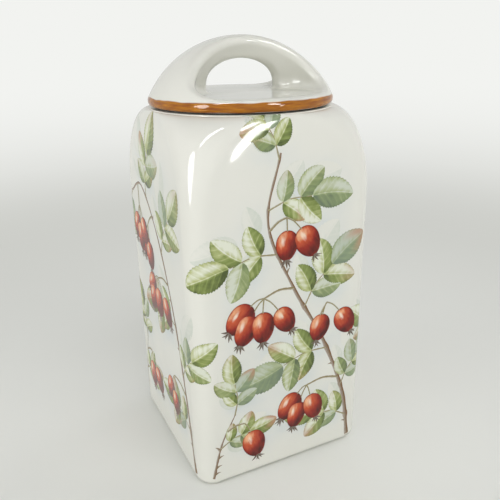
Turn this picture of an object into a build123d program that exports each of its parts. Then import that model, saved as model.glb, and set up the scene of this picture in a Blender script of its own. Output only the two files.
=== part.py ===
"""Porcelain kitchen canister: a square jar with a round mouth, and a lift-off lid with a scooped finger arch.

Millimetres, Z up, standing on Z = 0 with its axis on Z. The front is -Y and the finger arch runs along X.
"""
import math
import os

from build123d import *

# Jar
jar_width = 120.0  # across the flats, where the shoulder starts
jar_height = 227.0  # foot to the top of the lip
foot_taper = 0.65  # how much further in each side stands at the foot
corner_radius = 12.5  # upright corners
foot_round = 5.5  # bottom edge
shoulder_height = 50.0  # square-to-round part, up to the lip
neck_inset = 4.0  # lip's edge, in from the flats
lip_width = 9.0  # flat ring that the lid rests on
lip_thickness = 5.0
lip_rise = 0.5  # lip's own edge, above the shoulder
lip_round = 0.4
wall = 4.6
floor_thickness = 7.0
floor_round = 7.0  # inside, where the walls meet the floor
foot_ring_width = 6.5
foot_recess = 1.8

# Seal under the lid
seal_thickness = 0.8
seal_width = 6.0
seal_fit = 0.05  # radial, on the lid's flange

# Lid
lid_overhang = 0.2  # lid's edge, out past the lip's edge
rim_edge = 4.1  # upright edge of the rim, up to where the dome starts
rim_height = 7.1  # rim's underside to the floor of the scoops
rim_lower_round = 2.4
rim_upper_round = 1.5
arch_height = 32.3  # floor of the scoops to the top of the arch
flange_depth = 10.0
flange_wall = 4.5
flange_gap = 0.9  # radial, in the mouth
plate_thickness = 5.6  # inside the flange

# Scoops that leave the finger arch, one in front and one behind
scoop_margin = 16.2  # end of a scoop, in from the lid's edge, along the arch
scoop_overrun = 4.4  # outer side of a scoop, out past the lid's edge
scoop_overlap = 3.6  # inner side of a scoop, past the middle of the lid
scoop_headroom = 2.7  # top of a scoop, above the top of the arch
scoop_drop = 3.5  # scoop's centre, below its floor
bowl_round = 5.0  # where a scoop's wall turns into its floor
crease_round = 3.4  # where the scoops meet the dome

# Finger hole through the arch
hole_half_width = 22.4
hole_height = 18.8
hole_straight = 5.0  # upright part of its sides
hole_round = 3.8  # round edge over and beside the fingers

half_width = jar_width / 2
neck_radius = half_width - neck_inset
mouth_radius = neck_radius - lip_width
shoulder_start = jar_height - shoulder_height
lid_radius = neck_radius + lid_overhang
flange_radius = mouth_radius - flange_gap
rim_bottom = jar_height + seal_thickness
scoop_floor = rim_bottom + rim_height
lid_top = scoop_floor + arch_height
scoop_half_width = lid_radius - scoop_margin
scoop_half_depth = (lid_radius + scoop_overrun + scoop_overlap) / 2
scoop_half_height = scoop_drop + arch_height + scoop_headroom
scoop_offset = (lid_radius + scoop_overrun - scoop_overlap) / 2


def upright(radius, bottom, top):
    """A round bar on the canister's axis."""
    return Pos(0, 0, bottom) * Cylinder(radius, top - bottom, align=(Align.CENTER, Align.CENTER, Align.MIN))


def rounded_square(half, corner, z):
    """A square face with round corners, kept just short of a full circle."""
    corner = min(corner, half - 0.4)
    return Pos(0, 0, z) * RectangleRounded(2 * half, 2 * half, corner)


def shoulder(half, corner, neck, bottom, top):
    """The square-to-round dome: its flats and its corners close in on the neck's circle as quarter ellipses."""
    diagonal = math.sqrt(2)
    reach = half * diagonal - corner * (diagonal - 1)
    slope = foot_taper / shoulder_start
    sections = []
    for below in (9.0, 6.0, 3.0):
        sections.append(rounded_square(half - below * slope, corner - below * slope, bottom - below))
    for degrees in (0, 10, 20, 30, 40, 50, 60, 69, 77, 84, 90):
        shrink = math.cos(math.radians(degrees))
        flat = neck + (half - neck) * shrink
        corner_reach = neck + (reach - neck) * shrink
        section_corner = (flat * diagonal - corner_reach) / (diagonal - 1)
        height = bottom + (top - bottom) * math.sin(math.radians(degrees))
        sections.append(rounded_square(flat, section_corner, height))
    return loft(sections)


def tapered_block(half, corner, bottom, top):
    """An upright block with round corners that widens upwards to the given half width."""
    taper = math.degrees(math.atan(foot_taper / shoulder_start))
    narrower = (top - bottom) * math.tan(math.radians(taper))
    base = rounded_square(half - narrower, corner - narrower, bottom)
    return extrude(base, amount=top - bottom, taper=-taper)


def make_jar():
    outside = tapered_block(half_width, corner_radius, 0, shoulder_start)
    outside = fillet(outside.edges().group_by(Axis.Z)[0], foot_round)
    outside += shoulder(half_width, corner_radius, neck_radius, shoulder_start, jar_height - lip_rise)
    outside += upright(neck_radius - lip_rise / 3, shoulder_start, jar_height)

    inner_half = half_width - wall
    inner_corner = corner_radius - wall
    lip_underside = jar_height - lip_thickness
    inside = tapered_block(inner_half, inner_corner, floor_thickness, shoulder_start)
    inside = fillet(inside.edges().group_by(Axis.Z)[0], floor_round)
    inside += shoulder(inner_half, inner_corner, mouth_radius, shoulder_start, lip_underside)
    inside += upright(mouth_radius, shoulder_start, jar_height)

    jar = outside - inside
    recess_half = half_width - foot_taper - foot_round - foot_ring_width
    jar -= extrude(rounded_square(recess_half, corner_radius, 0), amount=foot_recess)
    lip_edges = jar.edges().group_by(Axis.Z)[-1]
    return fillet(lip_edges, lip_round)


def above(height):
    """Everything over the given height."""
    size = 4 * lid_radius
    return Pos(0, 0, height) * Box(size, size, size, align=(Align.CENTER, Align.CENTER, Align.MIN))


def flat_edges(part, height):
    """The edges that lie level at the given height."""
    return [
        edge
        for edge in part.edges()
        if abs(edge.bounding_box().min.Z - height) < 0.01 and abs(edge.bounding_box().max.Z - height) < 0.01
    ]


def dome_ball():
    """The ball whose cap is the outside of the lid over its upright edge."""
    rise = lid_top - rim_bottom - rim_edge
    radius = (lid_radius**2 + rise**2) / (2 * rise)
    return radius, lid_top - radius


def scoop(side):
    """The egg-shaped bowl on one side of the arch, flat at the bottom; side is -1 in front and 1 behind."""
    ball = Rot(-90 * side, 0, 0) * Sphere(1.0)
    egg = scale(ball, by=(scoop_half_width, scoop_half_depth, scoop_half_height))
    bowl = Pos(0, side * scoop_offset, scoop_floor - scoop_drop) * egg & above(scoop_floor)
    return fillet(flat_edges(bowl, scoop_floor), bowl_round)


def finger_hole():
    """The opening under the arch, cut a little large, and the bent bar that gives it a round edge."""
    plane = Plane(origin=(0, 0, scoop_floor), x_dir=(1, 0, 0), z_dir=(0, -1, 0))
    wide = hole_half_width + hole_round / 2
    tall = hole_height + hole_round / 2 - hole_straight
    opening = Pos(0, hole_straight) * Ellipse(wide, tall) + Rectangle(2 * wide, 2 * hole_straight)
    opening = extrude(plane * opening, amount=scoop_offset, both=True) & above(scoop_floor)

    bend_width = hole_half_width + hole_round
    bend_height = hole_height + hole_round - hole_straight
    foot = -hole_round
    path = Line((bend_width, foot), (bend_width, hole_straight))
    path += EllipticalCenterArc((0, hole_straight), bend_width, bend_height, start_angle=0, arc_size=180)
    path += Line((-bend_width, hole_straight), (-bend_width, foot))
    path = plane * path
    return opening, sweep((path ^ 0) * Circle(hole_round), path=path)


def crease_edges(lid):
    """The edges where the scoops break through the dome."""
    radius, centre = dome_ball()
    creases = []
    for edge in lid.edges():
        points = [edge @ step for step in (0.1, 0.3, 0.5, 0.7, 0.9)]
        on_ball = all(abs(math.hypot(p.X, p.Y, p.Z - centre) - radius) < 0.02 for p in points)
        if on_ball and edge.bounding_box().max.Z > scoop_floor and edge.bounding_box().size.X > 1:
            creases.append(edge)
    return creases


def make_lid():
    radius, centre = dome_ball()
    lid = upright(lid_radius, rim_bottom, lid_top) & Pos(0, 0, centre) * Rot(0, 0, 90) * Sphere(radius)
    lid = fillet(flat_edges(lid, rim_bottom), rim_lower_round)
    lid = fillet(flat_edges(lid, rim_bottom + rim_edge), rim_upper_round)
    lid = lid - scoop(-1) - scoop(1)
    lid = fillet(crease_edges(lid), crease_round)
    opening, edge_bar = finger_hole()
    lid = lid - opening + edge_bar
    lid += upright(flange_radius, rim_bottom - flange_depth, rim_bottom)
    lid -= upright(flange_radius - flange_wall, rim_bottom - flange_depth, scoop_floor - plate_thickness)
    return lid


def make_seal():
    inner = flange_radius + seal_fit
    ring = Cylinder(inner + seal_width, seal_thickness) - Cylinder(inner, seal_thickness)
    return Pos(0, 0, jar_height + seal_thickness / 2) * ring


os.makedirs("parts", exist_ok=True)
export_step(make_jar(), "parts/jar_body.step")
export_step(make_lid(), "parts/lid.step")
export_step(make_seal(), "parts/lid_seal.step")
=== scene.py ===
"""Looks of a porcelain kitchen canister: a clear glaze, a brushed ochre band and painted sprays of rose hips.

Pieces are in metres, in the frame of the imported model. The painting is laid out in millimetres on the jar's
unrolled wall: round the wall to the right of the middle of the front, and up from the foot.
"""
import math
import random
from functools import partial

import bpy
import numpy as np
from bpy.props import FloatProperty, FloatVectorProperty, IntProperty, PointerProperty
from mathutils import Matrix, Vector
from mathutils.bvhtree import BVHTree


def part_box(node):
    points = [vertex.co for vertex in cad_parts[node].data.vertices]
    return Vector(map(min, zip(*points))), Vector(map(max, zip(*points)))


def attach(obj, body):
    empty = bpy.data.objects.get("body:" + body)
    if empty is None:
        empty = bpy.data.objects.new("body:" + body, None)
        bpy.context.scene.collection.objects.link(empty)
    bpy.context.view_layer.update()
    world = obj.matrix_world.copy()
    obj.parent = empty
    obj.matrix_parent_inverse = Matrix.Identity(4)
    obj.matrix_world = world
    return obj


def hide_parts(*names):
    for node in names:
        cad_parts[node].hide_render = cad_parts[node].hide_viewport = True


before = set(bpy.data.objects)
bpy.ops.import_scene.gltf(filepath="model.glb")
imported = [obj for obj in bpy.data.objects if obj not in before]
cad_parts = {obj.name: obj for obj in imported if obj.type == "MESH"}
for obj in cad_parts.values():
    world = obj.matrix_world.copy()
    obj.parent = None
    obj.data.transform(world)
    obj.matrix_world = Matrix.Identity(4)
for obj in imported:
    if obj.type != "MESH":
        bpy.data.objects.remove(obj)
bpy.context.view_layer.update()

bl_info = {
    "name": "Porcelain canister",
    "version": (1, 0, 0),
    "blender": (4, 5, 0),
    "location": "View3D > Sidebar > Canister",
    "description": "Glazes, paints and lights a lidded porcelain canister",
    "category": "Object",
}

MM = 0.001
jar_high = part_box("jar_body")[1]
lid_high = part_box("lid")[1]

# The jar's outside, in millimetres, as the solid has it
HALF_WIDTH = jar_high.x / MM
CORNER = 12.5  # radius of the upright corners
FOOT_TAPER = 0.65  # how much further in each side stands at the foot
SHOULDER_START = 177.0
LIP_RISE = 0.5  # lip's own edge, above the shoulder
SHOULDER_TOP = jar_high.z / MM - LIP_RISE
NECK = 56.0  # radius of the round neck
DIAGONAL = math.sqrt(2)
QUARTER = 2 * (HALF_WIDTH - CORNER) + math.pi / 2 * CORNER  # a side with half of each corner

# Sizes of the marks in glaze, paint, rubber and paper, in millimetres
POOLING = 45.0  # where the glaze lies a little thicker
RIPPLE, RIPPLE_DEPTH = 16.0, 0.15  # waves in the glaze, which bend the edges of a highlight
PAINTED_SHADE_REACH = 22.0  # painted shade greys the glaze where another part of the lid is as near as this
DRY_FOOT = 0.4, 0.9  # heights between which the bare clay of the foot ends
BAND_WANDER = 13.0  # how long a swing of the band's edges is
BAND_STREAKS, BAND_THIN = 10.0, 9.0  # length of a brush streak, and how much thinner it is
BAND_SOFT = 0.25  # half of the band's soft edge
BAND_INNER = 4.2, 3.6  # where the band ends on the rim, in from the lid's edge
BARK, BARK_THIN = 1.4, 3.0  # larger than real brush hairs, so that it shows
VEINS, VEIN_SLANT = 4.4, 0.8  # side veins of a leaf, and how far they run on for each step out
LEAF_STREAKS, LEAF_BLOTS = 1.7, 8.0  # left by the brush, and where wet colour dried
HIP_STREAKS, HIP_BLOTS = 1.6, 6.0
STREAK_LONG = 0.3  # a streak's width, as a share of its length
APART = 90.0  # how far apart two strokes read their marks
WASH_CLOUDS = 14.0
DUST = 1.5
PAPER_CLOUDS = 60.0

# Inputs of a colour mix; a range map has its value at 0, from at 1 and 2, and to at 3 and 4
SHARE, FIRST, SECOND = 0, 6, 7


def linear(code):
    """An sRGB hex colour as linear RGBA."""
    shares = [int(code[k : k + 2], 16) / 255 for k in (1, 3, 5)]
    return tuple(c / 12.92 if c <= 0.04045 else ((c + 0.055) / 1.055) ** 2.4 for c in shares) + (1.0,)


def colour(name, description, code):
    """A colour that a user may change."""
    return FloatVectorProperty(
        name=name, description=description, subtype="COLOR", size=4, min=0.0, max=1.0, default=linear(code)
    )


def length(name, description, millimetres):
    """A size that a user may change, kept in metres."""
    return FloatProperty(
        name=name, description=description, subtype="DISTANCE", unit="LENGTH", precision=5,
        default=millimetres * MM,
    )


def power(name, description, watts):
    """A lamp's power."""
    return FloatProperty(name=name, description=description, unit="POWER", min=0.0, default=watts)


class CanisterGlaze(bpy.types.PropertyGroup):
    """Colours and sizes of the fired porcelain."""

    porcelain: colour("Porcelain", "White of the glazed body", "#E7E6DE")
    porcelain_shade: colour("Porcelain shade", "Where the glaze pools a little thicker", "#E0E0D7")
    # Painted shade: the grey that darkens the lid's hollows, where less light reaches
    painted_hollow_shade: colour("Hollow", "Thick glaze in the lid's hollows", "#BFBFB4")
    bisque: colour("Bisque", "Unglazed clay under the foot", "#D8CFBE")
    band_deep: colour("Band, deep", "Ochre where the brush left more colour", "#844200")
    band_light: colour("Band, light", "Ochre where the brush ran thin", "#BA7604")
    band_low: length("Band, lower edge", "Height of the band's lower edge", 228.1)
    band_high: length("Band, upper edge", "Height of the band's upper edge", 233.3)
    band_wobble: length("Band wobble", "How far the hand-painted edges wander", 0.7)
    rubber: colour("Rubber", "Ring under the lid", "#141312")
    rubber_dust: colour("Rubber dust", "Bloom of flour on the ring", "#26241F")
    lid_grain: length("Lid grain", "Spacing of the points on the lid's softened face", 0.8)
    lid_soft: IntProperty(
        name="Lid softness", description="How often the arch's creases are run together", min=0, default=9
    )


class CanisterSpray(bpy.types.PropertyGroup):
    """Colours and sizes of the painted sprays."""

    leaflet: length("Leaflet", "Length of a leaf's end leaflet", 31.0)
    hip: length("Hip", "Length of a rose hip", 20.0)
    stem: length("Stem", "Width of a main stem at its foot", 3.2)
    enamel: length("Enamel", "How far the lowest paint stands on the glaze", 0.05)
    seed: IntProperty(name="Seed", description="Start of the brush's small accidents", default=11)
    leaf_dark: colour("Leaf, dark", "Green in the hollows", "#4C582C")
    leaf_green: colour("Leaf, green", "Body of a leaf", "#84934E")
    leaf_light: colour("Leaf, light", "Young green in the light", "#B9BF86")
    leaf_bright: colour("Leaf, bright", "Wiped nearly to the glaze", "#E2E5D4")
    leaf_blush: colour("Leaf, blush", "Rosy brown at the tips", "#B98A6E")
    leaf_cool: colour("Leaf, cool", "Blue-green of older leaves", "#8FA192")
    leaf_faint: colour("Leaf, faint", "Pale leaf behind the others", "#BFC9BC")
    hip_dark: colour("Hip, dark", "Turned-away side of a hip", "#4A0C03")
    hip_red: colour("Hip, red", "Body of a hip", "#92200F")
    hip_orange: colour("Hip, orange", "Side of a hip in the light", "#C6532C")
    hip_bright: colour("Hip, bright", "Where a hip is brightest", "#EDB184")
    hip_glint: colour("Hip, glint", "Glint wiped out of a hip", "#F3E2D0")
    wood_old: colour("Wood, old", "Brown of the main stems", "#755430")
    wood_young: colour("Wood, young", "Green of the stalks", "#8E8650")
    sepal: colour("Sepal", "Dry crown at the end of a hip", "#432C16")
    wash: colour("Wash", "Cool grey floated in behind the leaves", "#B4C6D2")


class CanisterStage(bpy.types.PropertyGroup):
    """Studio floor, lamps and camera."""

    floor: colour("Floor", "Pale paper under the canister", "#E6E7E2")
    wall_low: colour("Wall, low", "Backdrop where it leaves the floor", "#CDCEC9")
    wall_high: colour("Wall, high", "Backdrop higher up", "#F2F3F0")
    room: colour("Room", "Even light round about", "#F4F5F5")
    key_fill: power("Key lamp", "Softbox over the front", 4.1)
    front_fill: power("Front fill", "Dull light in front", 2.0)
    left_fill: power("Left fill", "Dull light on the left", 3.5)
    right_fill: power("Right fill", "Dull light on the right", 4.1)
    back_fill: power("Back fill", "Dull light behind", 4.2)
    side_strip: power("Side strip", "Shine on the left", 2.5)
    front_strip: power("Front strip", "Shine on the right", 0.40)
    top_strip: power("Top strip", "Shine overhead", 1.2)
    crease_strip: power("Crease strip", "Shine on the arch's edge", 2.4)
    sky: FloatProperty(
        name="Room light", description="Strength of the even light round about", min=0.0, default=0.53
    )
    sky_top: FloatProperty(
        name="Ceiling light", description="Strength of the even light overhead", min=0.0, default=0.22
    )
    camera_place: FloatVectorProperty(
        name="Camera", description="Where the camera stands", subtype="XYZ", unit="LENGTH",
        default=(-0.15510, -0.32685, 0.26576),
    )
    camera_yaw: FloatProperty(name="Yaw", description="Turn to the right", subtype="ANGLE", default=0.4553)
    camera_pitch: FloatProperty(name="Pitch", description="Tilt down", subtype="ANGLE", default=0.3568)
    camera_roll: FloatProperty(name="Roll", description="Lean", subtype="ANGLE", default=-0.0154)
    camera_lens: FloatProperty(
        name="Lens", description="Focal length on a 36 mm sensor, in mm", min=1.0, default=41.23
    )


def node(tree, kind, inputs=None, stops=(), **settings):
    """Adds a shader node; an input is a value or what feeds it, stops are a ramp's places and colours."""
    made = tree.nodes.new("ShaderNode" + kind)
    for name, value in settings.items():
        setattr(made, name, value)
    for name, value in (inputs or {}).items():
        if isinstance(value, bpy.types.Node):
            value = next(out for out in value.outputs if out.enabled)
        if isinstance(value, bpy.types.NodeSocket):
            tree.links.new(value, made.inputs[name])
        else:
            made.inputs[name].default_value = value
    for k, (place, tint) in enumerate(stops):
        ramp = made.color_ramp.elements
        stop = ramp[k] if k < 2 else ramp.new(place)
        stop.position = place
        stop.color = tint
    return made


def new_material(name):
    """An empty material, what adds its nodes, and where a point of the piece is."""
    made = bpy.data.materials.new(name)
    made.use_nodes = True
    made.node_tree.nodes.clear()
    add = partial(node, made.node_tree)
    return made, add, add("TexCoord").outputs["Object"]


def clear_glaze(add, place, glaze):
    """The white of the glaze, which pools a little here and there, and how its rippled face shines."""
    pooling = add("TexNoise", {"Vector": place, "Scale": 1 / (POOLING * MM), "Detail": 2.0})
    white = add(
        "Mix", {SHARE: pooling, FIRST: glaze.porcelain, SECOND: glaze.porcelain_shade}, data_type="RGBA"
    )
    ripple = add("TexNoise", {"Vector": place, "Scale": 1 / (RIPPLE * MM), "Detail": 1.0})
    bump = add("Bump", {"Height": ripple, "Strength": 0.5, "Distance": RIPPLE_DEPTH * MM})
    return white, {"Normal": bump, "Roughness": 0.04, "IOR": 1.5}


def finish_material(add, tint, shine):
    """Ends a material with its shader."""
    shader = add("BsdfPrincipled", {"Base Color": tint, **shine})
    add("OutputMaterial", {"Surface": shader})


def dress(mesh, material):
    """Gives a mesh one material."""
    mesh.materials.clear()
    mesh.materials.append(material)


def new_object(name, data):
    """Adds an object to the scene."""
    made = bpy.data.objects.new(name, data)
    bpy.context.scene.collection.objects.link(made)
    return made


def numbers(items, name, width=1, kind=float):
    """One value of each item of a mesh, as an array with a row for each where it has a width."""
    found = np.empty(len(items) * width, kind)
    items.foreach_get(name, found)
    return found if width == 1 else found.reshape(-1, width)


def means(groups, values):
    """The mean of the rows of values in each group."""
    sums = np.stack([np.bincount(groups, column) for column in values.T], 1)
    return sums / np.bincount(groups)[:, None]


def section(z):
    """Half width and corner radius of the jar's outside at heights in millimetres."""
    z = np.asarray(z, float)
    narrower = np.maximum(SHOULDER_START - z, 0) * FOOT_TAPER / SHOULDER_START
    rise = np.clip((z - SHOULDER_START) / (SHOULDER_TOP - SHOULDER_START), 0, 0.999)
    shrink = np.sqrt(1 - rise**2)
    reach = HALF_WIDTH * DIAGONAL - CORNER * (DIAGONAL - 1)
    flat = NECK + (HALF_WIDTH - NECK) * shrink
    corner_reach = NECK + (reach - NECK) * shrink
    return flat - narrower, (flat * DIAGONAL - corner_reach) / (DIAGONAL - 1) - narrower


def wall_points(places):
    """Points of the jar's outside, in millimetres, for places (round, up) on its unrolled wall."""
    around, z = np.asarray(places, float).T
    half, corner = section(z)
    run = half - corner
    quarters = around / QUARTER
    face = np.round(quarters)
    along = (quarters - face) * (2 * run + math.pi / 2 * corner)
    bend = np.clip((np.abs(along) - run) / corner, 0, math.pi / 4 + 0.02)
    x = np.sign(along) * (np.minimum(np.abs(along), run) + corner * np.sin(bend))
    y = -(run + corner * np.cos(bend))
    turn = face * math.pi / 2
    cos, sin = np.cos(turn), np.sin(turn)
    return np.stack([x * cos - y * sin, x * sin + y * cos, z], 1)


def wall_normals(places, step=0.2):
    """Outward normals of the wall at the same places, from points a step away."""
    places = np.asarray(places, float)
    right = wall_points(places + (step, 0)) - wall_points(places - (step, 0))
    up = wall_points(places + (0, step)) - wall_points(places - (0, step))
    normals = np.cross(right, up)
    return normals / np.linalg.norm(normals, axis=1)[:, None]


def shelves(cells):
    """Packs (long, wide) cells on a square sheet, shelf over shelf: their corners and the sheet's side."""
    order = sorted(range(len(cells)), key=lambda k: -cells[k][1])
    side = max(long for long, wide in cells)
    filled = math.inf
    while filled > side:
        side *= 1.02
        corners = {}
        along = filled = shelf = 0.0
        for k in order:
            long, wide = cells[k]
            if along + long > side:
                along, filled, shelf = 0.0, filled + shelf, 0.0
            corners[k] = along, filled
            along += long
            shelf = max(shelf, wide)
        filled += shelf
    return corners, side


def lay_map(mesh, spots):
    """Gives a mesh the flat map that a bake of its colours goes through, from a place for each corner."""
    mesh.uv_layers.new(name="OFBake").uv.foreach_set("vector", spots.ravel())


class Brushwork:
    """Strokes on the jar's wall, each a closed skin of enamel, joined into one piece."""

    SINK = 0.12  # how far a stroke's underside reaches into the glaze, in millimetres
    EDGE = 0.4  # share of a stroke's height that is left at its edge
    MARGIN = 0.6  # between strokes on the flat sheet, in millimetres

    def __init__(self, names):
        self.values = {name: [] for name in names}
        self.places, self.lifts, self.faces, self.cells = [], [], [], []
        self.count = 0

    def stroke(self, grid, lift, **values):
        """Adds a grid of places; values has one number or one grid of numbers for each named value."""
        rows, columns = grid.shape[:2]
        shaped = {
            name: np.broadcast_to(np.asarray(values[name], float), (rows, columns)) for name in self.values
        }
        middle = rows // 2
        across = grid[middle, 1:] - grid[middle, :-1]
        along = grid[middle + 1, :-1] - grid[middle, :-1]
        if (across[:, 0] * along[:, 1] - across[:, 1] * along[:, 0]).sum() < 0:
            grid = grid[:, ::-1]
            shaped = {name: value[:, ::-1] for name, value in shaped.items()}
        under = rows * columns
        top = self.count + np.arange(under).reshape(rows, columns)
        quads = np.stack([top[:-1, :-1], top[:-1, 1:], top[1:, 1:], top[1:, :-1]], -1).reshape(-1, 4)
        border = np.concatenate([top[0, :-1], top[:-1, -1], top[-1, :0:-1], top[:0:-1, 0]])
        after = np.roll(border, -1)
        # The underside comes first, so that the face wins where a bake draws both
        self.faces += [quads[:, ::-1] + under, quads]
        self.faces.append(np.stack([border + under, after + under, after, border], -1))
        heights = np.full((rows, columns), lift)
        heights[0], heights[-1], heights[:, 0], heights[:, -1] = (lift * self.EDGE,) * 4
        flat = grid.reshape(-1, 2)
        self.places += [flat, flat]
        self.lifts += [heights.ravel(), np.full(under, -self.SINK)]
        for name, value in shaped.items():
            self.values[name] += [value.ravel(), value.ravel()]
        self.count += 2 * under
        long = np.linalg.norm(np.diff(grid[:, columns // 2], axis=0), axis=1).sum()
        wide = np.linalg.norm(np.diff(grid, axis=1), axis=2).sum(1).max()
        self.cells.append((rows, columns, long + self.MARGIN, wide + self.MARGIN))

    def sheet(self):
        """Where each point lies on a square sheet that has the strokes side by side."""
        corners, side = shelves([cell[2:] for cell in self.cells])
        spots = []
        for k, (rows, columns, long, wide) in enumerate(self.cells):
            run, out = np.meshgrid(np.linspace(0, 1, rows), np.linspace(0, 1, columns), indexing="ij")
            cell = np.stack([run * (long - self.MARGIN), out * (wide - self.MARGIN)], -1).reshape(-1, 2)
            spots += [cell + corners[k] + self.MARGIN / 2] * 2
        return np.concatenate(spots) / side

    def piece(self, name, material, wall):
        """Lays the strokes on the wall as one piece."""
        places = np.concatenate(self.places)
        lifts = np.concatenate(self.lifts)
        normals = wall_normals(places)
        points = np.array([wall.find_nearest(Vector(p * MM))[0] for p in wall_points(places)])
        points += normals * (lifts * MM)[:, None]
        normals[lifts < 0] *= -1
        mesh = bpy.data.meshes.new(name)
        mesh.from_pydata(points.tolist(), [], np.concatenate(self.faces).tolist())
        mesh.shade_smooth()
        for key, value in self.values.items():
            mesh.attributes.new(key, "FLOAT", "POINT").data.foreach_set("value", np.concatenate(value))
        lay_map(mesh, self.sheet()[numbers(mesh.loops, "vertex_index", kind=int)])
        mesh.normals_split_custom_set_from_vertices(normals.tolist())
        dress(mesh, material)
        made = new_object(name, mesh)
        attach(made, "jar")


def through(points, count):
    """A smooth line through the points, and its headings."""
    p = np.asarray(points, float)
    p = np.vstack([2 * p[0] - p[1], p, 2 * p[-1] - p[-2]])
    t = np.linspace(0, len(points) - 1 - 1e-6, count)
    k = t.astype(int)
    u = (t - k)[:, None]
    a, b, c, d = p[k], p[k + 1], p[k + 2], p[k + 3]
    line = 0.5 * (
        2 * b + (c - a) * u + (2 * a - 5 * b + 4 * c - d) * u**2 + (3 * b - a - 3 * c + d) * u**3
    )
    slope = np.gradient(line, axis=0)
    return line, np.arctan2(slope[:, 1], slope[:, 0])


def towards(heading, reach=1.0):
    """A step on the wall in a heading."""
    return reach * np.array([math.cos(heading), math.sin(heading)])


def ribbon(line, headings, halves, columns):
    """A grid with the line as its middle and the given half widths: its places, how far out each is in
    millimetres, and the same as a share of the half width."""
    sides = np.stack([-np.sin(headings), np.cos(headings)], 1)
    spread = np.linspace(-1, 1, columns)
    halves = np.asarray(halves)[:, None]
    return line[:, None] + sides[:, None] * (halves * spread)[..., None], halves * spread, spread[None]


def ease(value, low, high):
    """0 below low, 1 above high and a smooth step between."""
    share = np.clip((value - low) / (high - low), 0, 1)
    return share * share * (3 - 2 * share)


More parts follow.
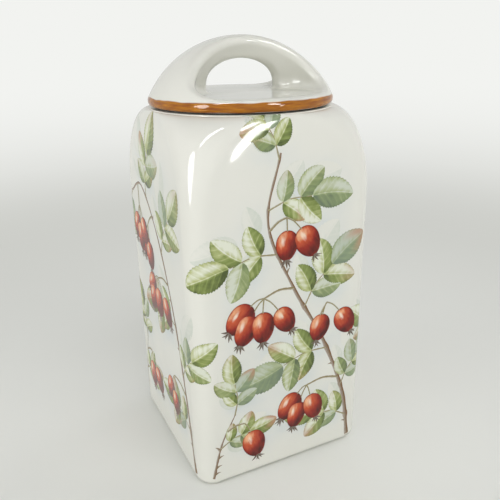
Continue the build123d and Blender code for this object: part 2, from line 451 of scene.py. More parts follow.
class Spray:
    """The painted sprays of one face, lit from the upper left. Sizes are in millimetres."""

    LAYER = 0.0016  # each stroke lies this much over the one before
    LIGHT_FROM = 2.3  # heading of the light
    THORN = 4.2
    SEPAL = (0.4, 0.7, 0.8, 0.7, 0.55, 0.4, 0.24, 0.08)  # half widths of a dry sepal, from its root
    WASH_HALF, WASH_LOW, WASH_HIGH = 52.0, 8.0, 218.0
    WASH_STRENGTH = 0.19
    WASH_OFF = 2.5, -4.0  # the wash lies below and to the right of what it sets off

    def __init__(self, seed, sizes, works):
        self.rng = random.Random(seed)
        self.enamel = sizes.enamel / MM
        self.stems, self.leaves, self.hips, self.washes = works
        self.lift = self.enamel
        self.shadows = []

    def next_lift(self):
        self.lift += self.LAYER
        return self.lift

    def stem(self, points, first, last, age, knots=()):
        """A tapering stem through the points, from young green, age 0, to old wood, age 1."""
        rng = self.rng
        line, headings = through(points, 16 * len(points))
        share = np.linspace(0, 1, len(line))
        steps = np.linalg.norm(np.diff(line, axis=0, prepend=line[:1]), axis=1)
        wander = 1 + 0.10 * np.sin(share * 33 + rng.random() * 6) + 0.07 * np.sin(share * 77)
        for knot in knots:
            wander += 0.45 * np.exp(-(((share - knot) / 0.011) ** 2))
        grid, out, edge = ribbon(line, headings, (first + (last - first) * share) / 2 * wander, 7)
        self.stems.stroke(
            grid, self.next_lift(), run=np.cumsum(steps)[:, None], out=out, edge=edge, age=age,
            tone=rng.random(),
        )

    def point(self, points, halves, age, tone):
        """A short pointed stroke in the paint of the stems."""
        line, headings = through(points, len(halves))
        grid, out, edge = ribbon(line, headings, halves, 3)
        self.stems.stroke(grid, self.next_lift(), run=0.0, out=out, edge=edge, age=age, tone=tone)

    def thorn(self, place, heading):
        """A short hooked thorn on a stem."""
        side = self.rng.choice((-1, 1))
        end = place + towards(heading + side * 1.1, self.THORN)
        self.point([place, (place + end) / 2 + (0, 0.4), end], np.linspace(1.0, 0.08, 7), 0.9, 0.3)

    def leaflet(self, base, heading, size, faint=0.0):
        """A toothed leaflet with one half in the light."""
        rng = self.rng
        rows, columns = 57, 11
        share = np.linspace(0, 1, rows)
        headings = heading + rng.uniform(-0.45, 0.45) * (share - 0.3)
        line = base + np.cumsum(np.stack([np.cos(headings), np.sin(headings)], 1), 0) * (size / (rows - 1))
        profile = share**0.60 * (1 - share) ** 0.74
        teeth = (share * 14 + rng.random()) % 1.0
        halves = size * rng.uniform(0.29, 0.34) * profile / profile.max() * (1 + 0.12 * (teeth - 0.5)) + 0.10
        grid, out, edge = ribbon(line, headings, halves, columns)
        share = share[:, None]
        run = share * size
        far = np.abs(edge)
        lit = edge * (1.0 if math.cos(heading + math.pi / 2 - self.LIGHT_FROM) > 0 else -1.0)
        # One half in the light with a sheen across it, shade beside the midrib on the other
        light = 0.52 + 0.24 * np.tanh(4 * lit)
        light = light + 0.20 * np.exp(-(((far - 0.52) / 0.28) ** 2)) * (lit > 0)
        light = light - 0.24 * np.exp(-((far / 0.22) ** 2)) * (lit < 0)
        # Darker at the edge and the base, lighter past the middle, and swelling between the side veins
        light = light - 0.26 * ease(far, 0.62, 1.0) * (0.6 + 0.4 * np.sin(share * 7 + rng.random() * 6))
        light = light - 0.22 * ease(-share, -0.28, 0.0) + 0.10 * ease(share, 0.3, 0.6)
        swell = (run - VEIN_SLANT * np.abs(out)) * 2 * math.pi / VEINS
        light = light + 0.05 * np.cos(swell + rng.random())
        tinge = max(rng.random() - 0.45, 0) * 1.6
        blush = tinge * ease(share + 0.12 * np.cos(5 * edge + rng.random() * 6), 0.50, 0.98)
        self.leaves.stroke(
            grid, self.next_lift(), run=run, out=out, edge=far, light=light + rng.uniform(-0.12, 0.12),
            blush=blush, tone=rng.random(), faint=faint,
        )
        self.shadows.append((base + towards(heading, size * 0.55), heading, size * 0.62, size * 0.45))

    def leaf(self, base, heading, size, pairs=2, bend=0.0, faint=0.0):
        """A leaf of paired leaflets and one at the end."""
        rng = self.rng
        reach = size * (0.36 + 0.36 * pairs)
        turn = heading + bend
        end = base + towards(turn, reach)
        middle = (base + end) / 2 - towards(turn + math.pi / 2, reach * 0.08) * np.sign(bend or 1)
        line, headings = through([base, middle, end], 31)
        if not faint:
            self.stem([base, middle, end], 1.1, 0.6, 0.2)
        for k in range(pairs):
            at = int(30 * (0.34 + 0.40 * k))
            for side in (-1, 1):
                grown = size * (0.72 + 0.12 * k) * rng.uniform(0.92, 1.05)
                self.leaflet(line[at], headings[at] + side * rng.uniform(0.85, 1.05), grown, faint)
        self.leaflet(line[-1], headings[-1], size * rng.uniform(0.98, 1.06), faint)

    def hip(self, top, heading, size):
        """A hip hanging from its stalk's end, with a dry crown at its far end."""
        rng = self.rng
        wide = size * rng.uniform(0.72, 0.79)
        axis, side = towards(heading), towards(heading + math.pi / 2)
        centre = top + axis * size / 2
        u, v = np.meshgrid(np.linspace(-1, 1, 21), np.linspace(-1, 1, 21))
        along, across = u * np.sqrt(1 - v**2 / 2), v * np.sqrt(1 - u**2 / 2)
        run, out = along * size / 2, across * (1 - 0.13 * along) * wide / 2
        grid = centre + axis * run[..., None] + side * out[..., None]
        # Lit as a ball from the upper left, with a little light thrown back and a wiped-out glint
        dome = np.sqrt(np.clip(1 - along**2 - across**2, 0, 1))
        flat = axis * along[..., None] + side * across[..., None]
        facing = flat @ np.array([-0.50, 0.56]) + 0.66 * dome
        light = 0.02 + 0.90 * np.clip(facing, 0, 1) ** 1.5 + 0.60 * np.clip(-facing - 0.16, 0, 1)
        off = flat - np.array([-0.34, 0.36])
        glint = np.exp(-((off @ axis / 0.34) ** 2) - (off @ side / 0.19) ** 2)
        self.hips.stroke(
            grid, self.next_lift(), run=run, out=out, light=light, rim=1 - dome, glint=glint,
            tone=rng.random(),
        )
        crown = centre + axis * size * 0.47
        for k in range(5):
            fan = heading + (k - 2) * 0.52 + rng.uniform(-0.12, 0.12)
            tip = crown + towards(fan, rng.uniform(3.8, 5.8))
            bow = (crown + tip) / 2 + rng.uniform(-0.6, 0.6) * side
            self.point([crown - axis * 0.9, bow, tip], self.SEPAL, 1.8, rng.random())
        self.shadows.append((centre + (2, -3), heading, size * 0.75, size * 0.65))

    def cluster(self, base, heading, reach, count, size):
        """A side shoot whose stalks carry a few hips that nod downwards."""
        rng = self.rng
        fork = base + towards(heading, reach)
        self.stem([base, (base + fork) / 2 + (0, reach * 0.10), fork], 1.6, 1.1, 0.4)
        drop = -math.pi / 2
        hung = []
        for k in range(count):
            fan = (k - (count - 1) / 2) * 0.80
            pull = towards(heading, 0.45) + towards(drop + fan, 0.9)
            away = math.atan2(pull[1], pull[0])
            top = fork + towards(away, rng.uniform(6.5, 9.0) + 5.0 * (k % 2))
            hang = math.atan2(
                math.sin(away) + math.sin(drop), math.cos(away) + math.cos(drop) + 0.3 * math.sin(fan)
            )
            self.stem([fork, (fork + top) / 2 + (0, 1.0), top + towards(hang, 1.0)], 0.95, 0.75, 0.25)
            hung.append((top, hang))
        for top, hang in hung:
            self.hip(top, hang, size * rng.uniform(0.92, 1.06))

    def wash(self, face):
        """Cool grey floated in behind leaves and hips, fading out to the bare glaze."""
        half, low, high = self.WASH_HALF, self.WASH_LOW, self.WASH_HIGH
        across, up = np.meshgrid(np.linspace(-half, half, 71), np.linspace(low, high, 85))
        grid = np.stack([across + face * QUARTER, up], -1)
        bare = np.ones(across.shape)
        for centre, heading, long, wide in self.shadows:
            off = grid - centre - self.WASH_OFF
            x, y = off @ towards(heading), off @ towards(heading + math.pi / 2)
            bare *= 1 - self.WASH_STRENGTH * np.exp(-((x / long) ** 2) - (y / wide) ** 2)
        fade = ease(-np.abs(across), -half, -half + 16)
        fade = fade * ease(up, low, low + 18) * ease(-up, -high, -high + 22)
        self.washes.stroke(grid, self.enamel * 0.7, wash=(1 - bare) * fade)


# Sprays: a stem's places from the middle of its face, then leaves (share of the stem, side, turn from the
# stem, size) and hips (share, side, turn, length of the shoot, count); side 1 is to the right of the way up
RISING = (
    {
        "stem": [(49, 4), (43, 42), (26, 86), (4, 126), (-13, 168), (-5, 207)],
        "width": 1.0,
        "leaves": [
            (0.10, -1, 0.85, 0.78), (0.23, 1, 0.65, 0.70), (0.37, -1, 1.05, 0.95), (0.53, 1, 0.95, 0.92),
            (0.71, -1, 1.0, 0.90), (0.84, 1, 1.05, 0.86), (0.98, -1, 0.45, 0.72),
        ],
        "hips": [
            (0.26, -1, 1.20, 24, 3), (0.45, 1, 0.95, 17, 2), (0.60, -1, 1.25, 20, 4), (0.78, 1, 1.25, 13, 2),
        ],
    },
    {
        "stem": [(-52, 6), (-46, 30), (-36, 50)],
        "width": 0.55,
        "leaves": [(0.45, 1, 0.7, 0.62), (0.98, -1, 0.2, 0.66)],
        "hips": [(0.72, 1, 0.9, 12, 1)],
    },
)
ARCHING = (
    {
        "stem": [(-49, 6), (-39, 58), (-25, 108), (-3, 152), (24, 178), (47, 170)],
        "width": 1.0,
        "leaves": [
            (0.11, 1, 0.90, 0.80), (0.25, -1, 0.7, 0.70), (0.37, 1, 0.95, 0.95), (0.55, -1, 0.85, 0.90),
            (0.73, -1, 0.85, 0.86), (0.98, 1, 0.3, 0.76),
        ],
        "hips": [
            (0.20, 1, 1.15, 20, 2), (0.47, 1, 1.25, 20, 4), (0.66, 1, 1.5, 13, 2), (0.86, 1, 1.25, 15, 3),
        ],
    },
    {
        "stem": [(52, 8), (48, 36), (40, 62)],
        "width": 0.55,
        "leaves": [(0.40, -1, 0.75, 0.66), (0.98, 1, 0.2, 0.70)],
        "hips": [(0.75, -1, 0.9, 13, 2)],
    },
)
THORNS = (0.07, 0.17, 0.31, 0.43, 0.65)  # shares of a stem

# Each side's place round the jar, its design, and its hand, which is -1 where the design is mirrored
SIDES = {
    "front": (0, RISING, 1),
    "right": (1, ARCHING, 1),
    "back": (2, RISING, -1),
    "left": (-1, ARCHING, -1),
}


class Shoot:
    """A main stem of a design, on its face of the jar."""

    STEPS = 400

    def __init__(self, design, face, hand):
        middle = np.array([face * QUARTER, 0.0])
        self.points = [np.array(p) * (hand, 1) + middle for p in design["stem"]]
        self.line, self.headings = through(self.points, self.STEPS)
        self.width, self.leaves, self.hips = design["width"], design["leaves"], design["hips"]

    def at(self, share):
        """Its place and heading at a share of its length."""
        k = int((self.STEPS - 1) * share)
        return self.line[k], self.headings[k]


def paint_face(spray, sizes, face, designs, hand):
    """Paints the designs on a face, far leaves first."""
    leaflet, hip, width = sizes.leaflet / MM, sizes.hip / MM, sizes.stem / MM
    shoots = [Shoot(design, face, hand) for design in designs]
    for shoot in shoots:
        for share, side, turn, grown in shoot.leaves:
            place, heading = shoot.at(min(share + 0.06, 1))
            spray.leaf(place, heading - hand * side * (turn + 0.3), leaflet * grown, 1, bend=0.1, faint=1.0)
    for shoot in shoots:
        first = width * shoot.width
        spray.stem(shoot.points, first, first * 0.4, 1.0, [leaf[0] for leaf in shoot.leaves])
        for share in THORNS:
            spray.thorn(*shoot.at(share))
    for shoot in shoots:
        for share, side, turn, grown in shoot.leaves:
            place, heading = shoot.at(share)
            spray.leaf(place, heading - hand * side * turn, leaflet * grown, bend=-hand * side * 0.25)
    for shoot in shoots:
        for share, side, turn, reach, count in shoot.hips:
            place, heading = shoot.at(share)
            spray.cluster(place, heading - hand * side * turn, reach, count, hip)
    spray.wash(face)


def brush_marks(add, u, v, tone, spacing, detail=3.0):
    """Uneven colour over two lengths in millimetres; each stroke has its own, by its tone."""
    apart = add("Math", {0: tone, 1: APART}, operation="MULTIPLY")
    place = add("CombineXYZ", {0: u, 1: v, 2: apart})
    return add("TexNoise", {"Vector": place, "Scale": 1 / spacing, "Detail": detail})


def stem_tint(add, spray, white, run, out, edge, age, tone):
    """Drawn with a liner: brown where the wood is old, green where it is young, and thin on the lit side."""
    far = add("Math", {0: out, 1: BARK_THIN}, operation="MULTIPLY")
    grain = brush_marks(add, run, far, tone, BARK)
    old = add("Math", {0: grain, 1: 0.5, 2: age}, operation="MULTIPLY_ADD")
    wood = add(
        "ValToRGB", {0: add("MapRange", {0: old, 1: 0.3, 2: 2.2})},
        stops=[(0.0, spray.wood_young), (1.0, spray.sepal), (0.5, spray.wood_old)],
    )
    lit = add("MapRange", {0: edge, 1: -0.6, 2: 0.9, 3: 0.0, 4: 0.75})
    thin = add("Math", {0: lit, 1: grain}, operation="MULTIPLY")
    return add("Mix", {SHARE: thin, FIRST: wood, SECOND: white}, data_type="RGBA")


def leaf_tint(add, spray, white, run, out, edge, light, blush, tone, faint):
    """Thin washes: two tones either side of a midrib, wiped-out veins and rosy tips."""
    # Side veins leave the midrib at a slant, the brush follows them in streaks, and wet colour dries in blots
    off = add("Math", {0: out}, operation="ABSOLUTE")
    along = add("Math", {0: off, 1: -VEIN_SLANT, 2: run}, operation="MULTIPLY_ADD")
    short = add("Math", {0: out, 1: STREAK_LONG}, operation="MULTIPLY")
    streaks = brush_marks(add, along, short, tone, LEAF_STREAKS)
    blots = brush_marks(add, run, out, tone, LEAF_BLOTS, detail=2.0)
    bent = add("Math", {0: streaks, 1: 1.6, 2: along}, operation="MULTIPLY_ADD")
    wave = add("Math", {0: bent, 1: VEINS / 2}, operation="PINGPONG")
    vein = add("MapRange", {0: wave, 1: 0.05, 2: 0.45, 3: 0.09, 4: 0.0})
    rib = add("MapRange", {0: off, 1: 0.12, 2: 0.50, 3: 0.30, 4: 0.0})
    body = add("Math", {0: streaks, 1: 0.42, 2: light}, operation="MULTIPLY_ADD")
    body = add("Math", {0: blots, 1: 0.5, 2: body}, operation="MULTIPLY_ADD")
    for wiped in (vein, rib):
        body = add("Math", {0: body, 1: wiped}, operation="ADD")
    green = add(
        "ValToRGB", {0: add("MapRange", {0: body, 1: 0.45, 2: 1.45})},
        stops=[
            (0.0, spray.leaf_dark), (1.0, spray.leaf_bright),
            (0.35, spray.leaf_green), (0.66, spray.leaf_light),
        ],
    )
    # Older leaves turn cool and tips rosy, and colour gathers at the edge
    old = add("MapRange", {0: tone, 1: 0.55, 2: 1.0, 3: 0.0, 4: 0.6})
    rim = add("MapRange", {0: edge, 1: 0.90, 2: 1.0, 3: 0.0, 4: 0.45})
    leaf = green
    for share, tint in ((old, spray.leaf_cool), (blush, spray.leaf_blush), (rim, spray.leaf_dark)):
        leaf = add("Mix", {SHARE: share, FIRST: leaf, SECOND: tint}, data_type="RGBA")
    # Far leaves are nearly the glaze
    pale = add("MapRange", {0: body, 1: 0.65, 2: 1.35, 3: 0.45, 4: 0.95})
    ghost = add("Mix", {SHARE: pale, FIRST: spray.leaf_faint, SECOND: white}, data_type="RGBA")
    return add("Mix", {SHARE: faint, FIRST: leaf, SECOND: ghost}, data_type="RGBA")


def hip_tint(add, spray, white, run, out, light, rim, glint, tone):
    """Deep washes: dark away from the light, orange towards it, with glints wiped out nearly to the white."""
    short = add("Math", {0: run, 1: STREAK_LONG}, operation="MULTIPLY")
    streaks = brush_marks(add, short, out, tone, HIP_STREAKS)
    blots = brush_marks(add, run, out, tone, HIP_BLOTS, detail=2.0)
    body = add("Math", {0: streaks, 1: 0.40, 2: light}, operation="MULTIPLY_ADD")
    body = add("Math", {0: blots, 1: 0.5, 2: body}, operation="MULTIPLY_ADD")
    red = add(
        "ValToRGB", {0: add("MapRange", {0: body, 1: 0.42, 2: 1.42})},
        stops=[
            (0.0, spray.hip_dark), (1.0, spray.hip_bright), (0.36, spray.hip_red), (0.72, spray.hip_orange),
        ],
    )
    line = add("MapRange", {0: rim, 1: 0.66, 2: 1.0, 3: 0.0, 4: 0.75})
    red = add("Mix", {SHARE: line, FIRST: red, SECOND: spray.hip_dark}, data_type="RGBA")
    wiped = add("Math", {0: glint, 1: streaks}, operation="MULTIPLY")
    dab = add("MapRange", {0: wiped, 1: 0.14, 2: 0.50, 3: 0.0, 4: 0.85})
    return add("Mix", {SHARE: dab, FIRST: red, SECOND: spray.hip_glint}, data_type="RGBA")


def wash_tint(add, spray, white, wash):
    """Thinned to a cool tint and patted out with a pad, so that it is cloudy."""
    place = add("TexCoord").outputs["Object"]
    cloud = add("TexNoise", {"Vector": place, "Scale": 1 / (WASH_CLOUDS * MM), "Detail": 3.0})
    patted = add("MapRange", {0: cloud, 1: 0.3, 2: 0.7, 3: 0.35, 4: 1.0})
    share = add("Math", {0: wash, 1: patted}, operation="MULTIPLY")
    return add("Mix", {SHARE: share, FIRST: white, SECOND: spray.wash}, data_type="RGBA")


# China paints: their materials, their tints and what each stroke tells them
PAINTS = {
    "stems": ("china_paint_wood", stem_tint, ("run", "out", "edge", "age", "tone")),
    "leaves": ("china_paint_leaves", leaf_tint, ("run", "out", "edge", "light", "blush", "tone", "faint")),
    "hips": ("china_paint_hips", hip_tint, ("run", "out", "light", "rim", "glint", "tone")),
    "wash": ("china_paint_wash", wash_tint, ("wash",)),
}


def china_paint(name, tint, values, spray, glaze):
    """China paint: thin coloured enamel that shines as the glaze does, because it is fired into it."""
    made, add, place = new_material(name)
    white, shine = clear_glaze(add, place, glaze)
    told = [add("Attribute", attribute_name=value).outputs["Fac"] for value in values]
    finish_material(add, tint(add, spray, white, *told), shine)
    return made


class CANISTER_OT_glaze_jar(bpy.types.Operator):
    """Glazes the jar and leaves its foot ring bare"""

    bl_idname = "canister.glaze_jar"
    bl_label = "Glaze the jar"

    def execute(self, context):
        glaze = context.scene.canister_glaze
        # Glazed porcelain: a cast white body under clear, slightly rippled glass, with dry clay at the foot
        made, add, place = new_material("glazed_porcelain")
        white, shine = clear_glaze(add, place, glaze)
        height = add("SeparateXYZ", {0: place}).outputs["Z"]
        low, high = DRY_FOOT
        dry = add("MapRange", {0: height, 1: low * MM, 2: high * MM, 3: 1.0, 4: 0.0})
        tint = add("Mix", {SHARE: dry, FIRST: white, SECOND: glaze.bisque}, data_type="RGBA")
        shine["Roughness"] = add("MapRange", {0: dry, 3: shine["Roughness"], 4: 0.75})
        finish_material(add, tint, shine)
        dress(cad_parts["jar_body"].data, made)
        return {"FINISHED"}


class CANISTER_OT_glaze_lid(bpy.types.Operator):
    """Runs the lid's creases together, glazes it, paints shade into its hollows and brushes the ochre band
    round its rim
    """

    bl_idname = "canister.glaze_lid"
    bl_label = "Glaze the lid"

    # In millimetres, and in rounds of smoothing
    ARCH_FOOT = 233.6, 236.0  # heights between which the arch's own smoothing sets in
    ARCH_REACH = 50.0, 54.0  # distances from the axis between which it ends
    IN_ARCH = 240.0  # what lies higher is part of the arch
    EVEN_ROUNDS = 3  # take away the steps of the new grid
    FACING_ROUNDS = 8  # even out which way the casting faces, so that its sheets have clean borders
    SHEET_MARGIN = 3.0

    def execute(self, context):
        glaze = context.scene.canister_glaze
        dress(self.casting(glaze), self.banded_porcelain(glaze))
        return {"FINISHED"}

    def casting(self, glaze):
        """The lid as it leaves the kiln: the solid, with its arch's creases run together by the glaze."""
        made = new_object("lid_casting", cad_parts["lid"].data.copy())
        remesh = made.modifiers.new("grain", "REMESH")
        remesh.mode = "VOXEL"
        remesh.voxel_size = glaze.lid_grain
        mesh = bpy.data.meshes.new_from_object(made.evaluated_get(bpy.context.evaluated_depsgraph_get()))
        made.modifiers.clear()
        made.data = mesh
        points = numbers(mesh.vertices, "co", 3)
        ends = numbers(mesh.edges, "vertices", 2, int)
        here, there = np.concatenate([ends, ends[:, ::-1]]).T
        radius = np.hypot(points[:, 0], points[:, 1]) / MM
        near, far = self.ARCH_REACH
        arch = ease(points[:, 2] / MM, *self.ARCH_FOOT) * ease(-radius, -far, -near)
        for step in range(self.EVEN_ROUNDS + glaze.lid_soft):
            share = np.full(len(points), 0.5) if step < self.EVEN_ROUNDS else 0.5 * arch
            points += (means(here, points[there]) - points) * share[:, None]
        mesh.vertices.foreach_set("co", points.ravel())
        mesh.shade_smooth()
        mesh.update()
        normals = numbers(mesh.vertex_normals, "vector", 3)
        for _ in range(self.FACING_ROUNDS):
            normals = means(here, normals[there])
        self.lay_flat(mesh, points / MM, normals)
        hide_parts("lid")
        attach(made, "lid")
        return mesh

    def lay_flat(self, mesh, points, normals):
        """Lays the casting flat for its bake: six sides as they look from straight ahead, with what faces the
        axis or lies in the arch on sheets of its own."""
        totals = numbers(mesh.polygons, "loop_total", kind=int)
        corners = numbers(mesh.loops, "vertex_index", kind=int)
        face = np.repeat(np.arange(len(totals)), totals)
        centre, facing = means(face, points[corners]), means(face, normals[corners])
        axis = np.abs(facing).argmax(1)
        ahead = np.take_along_axis(facing, axis[:, None], 1)[:, 0] > 0
        inwards = (facing[:, :2] * centre[:, :2]).sum(1) < 0
        inner = np.where(axis == 2, centre[:, 2] > self.IN_ARCH, inwards)
        sheet = (4 * axis + 2 * ahead + inner)[face]
        spots = np.empty((len(corners), 2))
        cells, shown = [], []
        for k in np.unique(sheet):
            mine = sheet == k
            flat = np.delete(points[corners[mine]], k // 4, axis=1)
            spots[mine] = flat - flat.min(0) + self.SHEET_MARGIN / 2
            cells.append(np.ptp(flat, axis=0) + self.SHEET_MARGIN)
            shown.append(mine)
        places, side = shelves(cells)
        for k, mine in enumerate(shown):
            spots[mine] += places[k]
        lay_map(mesh, spots / side)

    def banded_porcelain(self, glaze):
        # Glazed porcelain with a band of ochre china paint, brushed on by hand and fired into the glaze, with
        # painted shade in the lid's hollows
        made, add, place = new_material("glazed_porcelain_with_ochre_band")
        white, shine = clear_glaze(add, place, glaze)
        # In the lid's hollows the glaze gathers thick and grey
        # Painted shade: where ambient occlusion finds other parts of the lid near, the white is darkened to
        # grey
        open_air = add("AmbientOcclusion", {"Distance": PAINTED_SHADE_REACH * MM}, samples=12, only_local=True)
        painted_hollow_shade = add("MapRange", {0: open_air.outputs["AO"], 1: 0.30, 2: 0.90, 3: 1.0, 4: 0.0})
        white = add("Mix", {SHARE: painted_hollow_shade, FIRST: white, SECOND: glaze.painted_hollow_shade}, data_type="RGBA")
        # The band's edges wander up and down
        height = add("SeparateXYZ", {0: place}).outputs["Z"]
        wander = add("TexNoise", {"Vector": place, "Scale": 1 / (BAND_WANDER * MM), "Detail": 1.0})
        swing = glaze.band_wobble / 2
        shift = add("MapRange", {0: wander, 1: 0.25, 2: 0.75, 3: -swing, 4: swing})
        level = add("Math", {0: height, 1: shift}, operation="ADD")
        low, high, soft = glaze.band_low, glaze.band_high, BAND_SOFT * MM
        over = add("MapRange", {0: level, 1: low - soft, 2: low + soft})
        below = add("MapRange", {0: level, 1: high - soft, 2: high + soft, 3: 1.0, 4: 0.0})
        flat = add("VectorMath", {0: place, 1: (1.0, 1.0, 0.0)}, operation="MULTIPLY")
        radius = add("VectorMath", {0: flat}, operation="LENGTH")
        inner, full = (lid_high.x - inset * MM for inset in BAND_INNER)
        outer = add("MapRange", {0: radius, 1: inner, 2: full})
        both = add("Math", {0: over, 1: below}, operation="MULTIPLY")
        band = add("Math", {0: both, 1: outer}, operation="MULTIPLY")
        # The brush leaves streaks along the band
        drawn = add("VectorMath", {0: place, 1: (1.0, 1.0, BAND_THIN)}, operation="MULTIPLY")
        streaks = add("TexNoise", {"Vector": drawn, "Scale": 1 / (BAND_STREAKS * MM), "Detail": 4.0})
        load = add("MapRange", {0: streaks, 1: 0.3, 2: 0.7})
        ochre = add("Mix", {SHARE: load, FIRST: glaze.band_deep, SECOND: glaze.band_light}, data_type="RGBA")
        tint = add("Mix", {SHARE: band, FIRST: white, SECOND: ochre}, data_type="RGBA")
        finish_material(add, tint, shine)
        return made


class CANISTER_OT_seal(bpy.types.Operator):
    """Gives the ring under the lid its rubber"""

    bl_idname = "canister.seal"
    bl_label = "Rubber ring"

    def execute(self, context):
        glaze = context.scene.canister_glaze
        # Moulded black rubber: matt, with a faint bloom of flour dust in specks
        made, add, place = new_material("moulded_rubber")
        dust = add("TexNoise", {"Vector": place, "Scale": 1 / (DUST * MM), "Detail": 3.0})
        tint = add("Mix", {SHARE: dust, FIRST: glaze.rubber, SECOND: glaze.rubber_dust}, data_type="RGBA")
        rough = add("MapRange", {0: dust, 3: 0.55, 4: 0.8})
        finish_material(add, tint, {"Roughness": rough})
        dress(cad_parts["lid_seal"].data, made)
        return {"FINISHED"}


class CANISTER_OT_paint_sprays(bpy.types.Operator):
    """Paints stems, leaves, hips and the wash behind them on the four sides of the jar"""

    bl_idname = "canister.paint_sprays"
    bl_label = "Paint the sprays"

    def execute(self, context):
        sizes = context.scene.canister_spray
        glaze = context.scene.canister_glaze
        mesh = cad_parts["jar_body"].data
        wall = BVHTree.FromPolygons([v.co for v in mesh.vertices], [p.vertices for p in mesh.polygons])
        paints = {kind: china_paint(*paint, sizes, glaze) for kind, paint in PAINTS.items()}
        for side, (face, designs, hand) in SIDES.items():
            works = {kind: Brushwork(paint[-1]) for kind, paint in PAINTS.items()}
            spray = Spray(sizes.seed + 7 * face, sizes, works.values())
            paint_face(spray, sizes, face, designs, hand)
            for kind, work in works.items():
                work.piece(f"{side}_{kind}", paints[kind], wall)
        return {"FINISHED"}


# Softboxes, in metres: lower end, upper end and width. A fill lights without a highlight, a strip only shines
LAMPS = {
    "key_fill": ((0.0, -0.95, 0.95), (0.0, -0.45, 1.25), 1.0),
    "front_fill": ((0.1, -0.9, 0.25), (0.1, -0.9, 0.5), 0.8),
    "left_fill": ((-0.9, -0.1, 0.25), (-0.9, -0.1, 0.5), 0.8),
    "right_fill": ((1.0, 0.2, 0.1), (0.9, 0.2, 0.9), 0.9),
    "back_fill": ((0.2, 1.1, 0.1), (0.2, 0.9, 0.98), 1.4),
    "side_strip": ((-0.64, -0.22, 0.09), (-0.60, -0.22, 0.59), 0.20),
    "front_strip": ((0.247, -0.695, 0.131), (0.323, -0.640, 0.417), 0.022),
    "top_strip": ((-0.530, -0.322, 0.663), (-0.113, -0.237, 0.903), 0.06),
    "crease_strip": ((0.265, -0.694, 0.469), (0.104, -0.621, 0.691), 0.16),
}


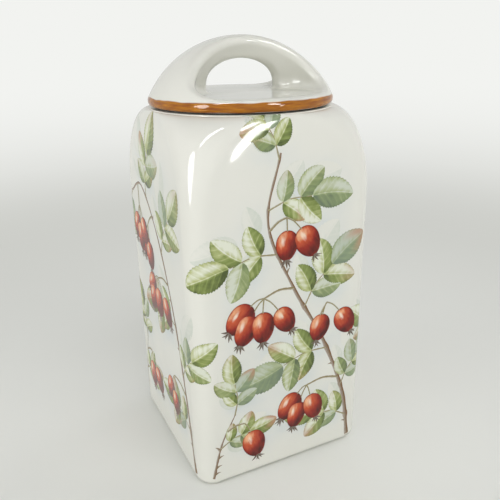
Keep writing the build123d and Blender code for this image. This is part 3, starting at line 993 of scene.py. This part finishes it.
class CANISTER_OT_stage(bpy.types.Operator):
    """Sets the floor, the lamps and the camera"""

    bl_idname = "canister.stage"
    bl_label = "Stage"

    # In metres
    FLOOR_RINGS = 0.1, 0.2, 0.35, 0.5, 0.65, 0.8  # radii
    BEND = 1.0  # radius of the backdrop's bend out of the floor
    BACKDROP_TOP = 2.0
    AROUND, BEND_STEPS = 96, 12
    GLOW_FROM = 0.08, 0.50  # distances between which the paper's own glow sets in
    GLOW_RISE = 0.5, 1.35  # distances between which it turns from grey to white
    GLOW_IN_GLOSS = 0.65  # share of the glow that a glossy face mirrors
    AIM = Vector((0.0, 0.0, 0.16))  # where the lamps point
    SENSOR = 36.0  # in millimetres

    def execute(self, context):
        scene = context.scene
        stage = scene.canister_stage
        scene.view_settings.view_transform = "Standard"
        paper = self.paper(stage)
        self.turned("floor", [(radius, 0.0) for radius in self.FLOOR_RINGS], paper)
        edge = self.FLOOR_RINGS[-1]
        curve = []
        for k in range(self.BEND_STEPS + 1):
            turn = math.radians(90 * k / self.BEND_STEPS)
            curve.append((edge + self.BEND * math.sin(turn), self.BEND - self.BEND * math.cos(turn)))
        backdrop = self.turned("backdrop", curve + [(edge + self.BEND, self.BACKDROP_TOP)], paper)
        backdrop.visible_diffuse = False
        backdrop.visible_shadow = False
        for name, box in LAMPS.items():
            self.lamp(name, *box, getattr(stage, name))
        self.room(scene, stage)
        self.camera(scene, stage)
        return {"FINISHED"}

    def paper(self, stage):
        # Matt seamless paper, faintly cloudy; away from the canister it is lit from behind, and that glow
        # shows only to the camera, in the gloss and through glass
        made, add, place = new_material("seamless_paper")
        path = add("LightPath").outputs
        seen = add("Math", {0: path["Is Camera Ray"], 1: path["Is Transmission Ray"]}, operation="MAXIMUM")
        seen = add(
            "Math", {0: path["Is Glossy Ray"], 1: self.GLOW_IN_GLOSS, 2: seen}, operation="MULTIPLY_ADD"
        )
        cloud = add("TexNoise", {"Vector": place, "Scale": 1 / (PAPER_CLOUDS * MM), "Detail": 3.0})
        share = add("MapRange", {0: cloud, 3: 0.0, 4: 0.1})
        tint = add("Mix", {SHARE: share, FIRST: stage.floor, SECOND: stage.wall_low}, data_type="RGBA")
        matt = add("BsdfPrincipled", {"Base Color": tint, "Roughness": 0.9})
        away = add("VectorMath", {0: place}, operation="LENGTH")
        rise, far = (
            add("MapRange", {0: away, 1: low, 2: high}, interpolation_type="SMOOTHSTEP")
            for low, high in (self.GLOW_RISE, self.GLOW_FROM)
        )
        glow = add("Mix", {SHARE: rise, FIRST: stage.wall_low, SECOND: stage.wall_high}, data_type="RGBA")
        lit = add("Emission", {"Color": glow})
        shows = add("Math", {0: far, 1: seen}, operation="MULTIPLY")
        both = add("MixShader", {0: shows, 1: matt, 2: lit})
        add("OutputMaterial", {"Surface": both})
        return made

    def turned(self, name, rings, material):
        """A stage piece turned about the canister's axis from (radius, height) rings; a level one is closed
        in the middle."""
        points, faces = [], []
        for radius, height in rings:
            for k in range(self.AROUND):
                turn = 2 * math.pi * k / self.AROUND
                points.append((radius * math.cos(turn), radius * math.sin(turn), height))
        for ring in range(len(rings) - 1):
            low, high = ring * self.AROUND, (ring + 1) * self.AROUND
            for k in range(self.AROUND):
                after = (k + 1) % self.AROUND
                faces.append((low + k, high + k, high + after, low + after))
        if rings[0][1] == rings[-1][1]:
            faces.append(tuple(range(self.AROUND)))
        mesh = bpy.data.meshes.new(name)
        mesh.from_pydata(points, [], faces)
        mesh.shade_smooth()
        dress(mesh, material)
        made = new_object(name, mesh)
        return made

    def lamp(self, name, low, high, wide, watts):
        """A softbox between two ends."""
        low, high = Vector(low), Vector(high)
        lamp = bpy.data.lights.new(name, "AREA")
        lamp.shape = "ELLIPSE" if name.endswith("strip") else "RECTANGLE"
        lamp.size, lamp.size_y = wide, (high - low).length
        lamp.energy = watts
        made = new_object(name, lamp)
        upright = (high - low).normalized()
        sideways = upright.cross((low + high) / 2 - self.AIM).normalized()
        turn = Matrix((sideways, upright, sideways.cross(upright))).transposed()
        made.matrix_world = Matrix.Translation((low + high) / 2) @ turn.to_4x4()
        made.visible_camera = False
        made.visible_glossy = not name.endswith("fill")
        made.visible_diffuse = not name.endswith("strip")

    def room(self, scene, stage):
        """Even light from the room, weaker overhead."""
        world = bpy.data.worlds.new("room_light")
        world.use_nodes = True
        world.node_tree.nodes.clear()
        add = partial(node, world.node_tree)
        heading = add("TexCoord").outputs["Generated"]
        up = add("SeparateXYZ", {0: heading}).outputs["Z"]
        level = add("MapRange", {0: up, 1: 0.0, 2: 1.0, 3: stage.sky, 4: stage.sky_top})
        room = add("Background", {"Color": stage.room, "Strength": level})
        add("OutputWorld", {"Surface": room})
        scene.world = world

    def camera(self, scene, stage):
        """The photograph's own view."""
        lens = bpy.data.cameras.new("camera")
        lens.sensor_width = self.SENSOR
        lens.lens = stage.camera_lens
        lens.clip_start = 0.01
        made = new_object("camera", lens)
        turn = (
            Matrix.Rotation(-stage.camera_yaw, 3, "Z")
            @ Matrix.Rotation(math.pi / 2 - stage.camera_pitch, 3, "X")
            @ Matrix.Rotation(stage.camera_roll, 3, "Z")
        )
        made.rotation_mode = "QUATERNION"
        made.rotation_quaternion = turn.to_quaternion()
        made.location = stage.camera_place
        scene.camera = made


class CANISTER_PT_looks(bpy.types.Panel):
    """Sizes, colours and steps of the canister"""

    bl_label = "Canister"
    bl_space_type = "VIEW_3D"
    bl_region_type = "UI"
    bl_category = "Canister"

    def draw(self, context):
        for name, group in GROUPS.items():
            box = self.layout.box()
            for key in group.__annotations__:
                box.prop(getattr(context.scene, name), key)
        for operator in OPERATORS:
            self.layout.operator(operator.bl_idname)


GROUPS = {"canister_glaze": CanisterGlaze, "canister_spray": CanisterSpray, "canister_stage": CanisterStage}
OPERATORS = (
    CANISTER_OT_glaze_jar,
    CANISTER_OT_glaze_lid,
    CANISTER_OT_seal,
    CANISTER_OT_paint_sprays,
    CANISTER_OT_stage,
)


def register():
    for made in (*GROUPS.values(), *OPERATORS, CANISTER_PT_looks):
        bpy.utils.register_class(made)
    for name, group in GROUPS.items():
        setattr(bpy.types.Scene, name, PointerProperty(type=group))


def unregister():
    for name in GROUPS:
        delattr(bpy.types.Scene, name)
    for made in (CANISTER_PT_looks, *reversed(OPERATORS), *reversed(GROUPS.values())):
        bpy.utils.unregister_class(made)


def main():
    register()
    bpy.ops.canister.glaze_jar()
    bpy.ops.canister.glaze_lid()
    bpy.ops.canister.seal()
    bpy.ops.canister.paint_sprays()
    bpy.ops.canister.stage()


if __name__ == "__main__":
    main()
